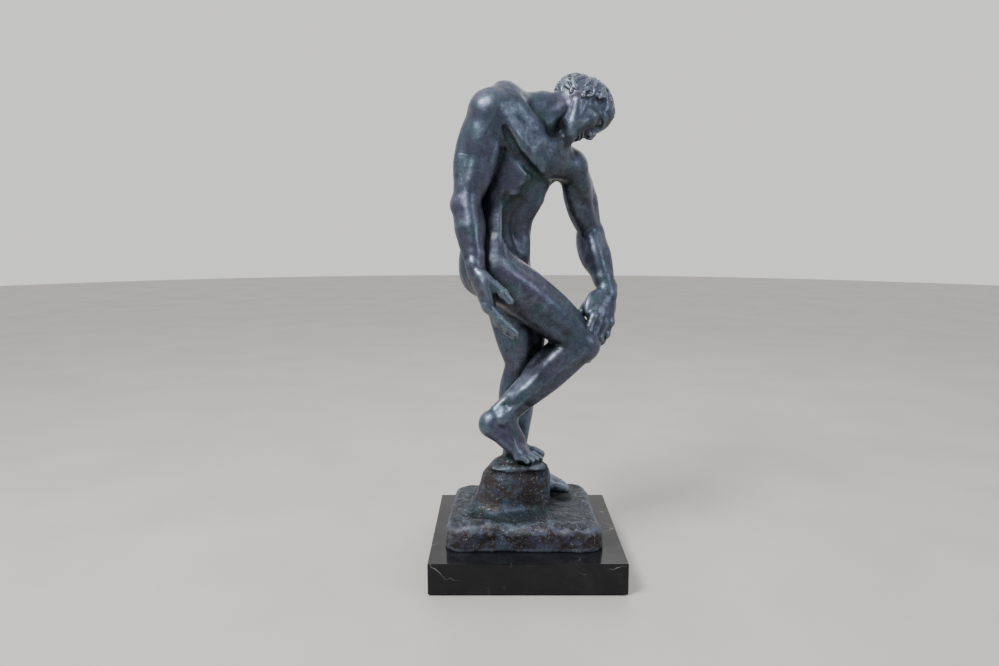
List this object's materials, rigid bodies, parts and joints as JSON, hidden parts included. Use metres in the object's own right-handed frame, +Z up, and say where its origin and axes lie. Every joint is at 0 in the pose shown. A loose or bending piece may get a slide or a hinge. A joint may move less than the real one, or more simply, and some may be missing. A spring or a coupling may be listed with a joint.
{
  "type": "bronze statuette",
  "caption": "Patinated bronze figure of a bowed standing man with one foot raised on a rock, on a square polished black marble base with felt pads.",
  "frame": {"origin": "middle of the underside of the base, on the floor plane of the felt pads", "axes": "+Z up, +X towards the figure's raised knee (the viewer's right), +Y away from the front edge of the base"},
  "size_m": [0.2038, 0.2, 0.525],
  "materials": {
    "bronze": "dark blue-green patina, satin",
    "ground": "dark brown-green patina, rough",
    "pin": "bare turned bronze",
    "steel": "zinc plated",
    "marble": "polished, thin pale veins",
    "felt": "black felt"
  },
  "bodies": {
    "root": {"marble_base": "marble", "felt_pad_1": "felt", "felt_pad_2": "felt", "felt_pad_3": "felt", "felt_pad_4": "felt", "felt_pad_5": "felt", "plinth_casting": "ground", "torso_casting": "bronze", "head_casting": "bronze", "right_arm_casting": "bronze", "left_arm_casting": "bronze", "right_leg_casting": "bronze", "left_leg_casting": "bronze", "neck_pin": "pin", "right_shoulder_pin": "pin", "left_shoulder_pin": "pin", "right_hip_pin": "pin", "left_hip_pin": "pin", "base_stud_1": "steel", "base_stud_2": "steel", "base_washer_1": "steel", "base_washer_2": "steel", "base_nut_1": "steel", "base_nut_2": "steel", "left_foot_bolt": "steel", "left_foot_washer": "steel", "right_foot_bolt": "steel", "right_foot_washer": "steel"}
  },
  "joints": []
}
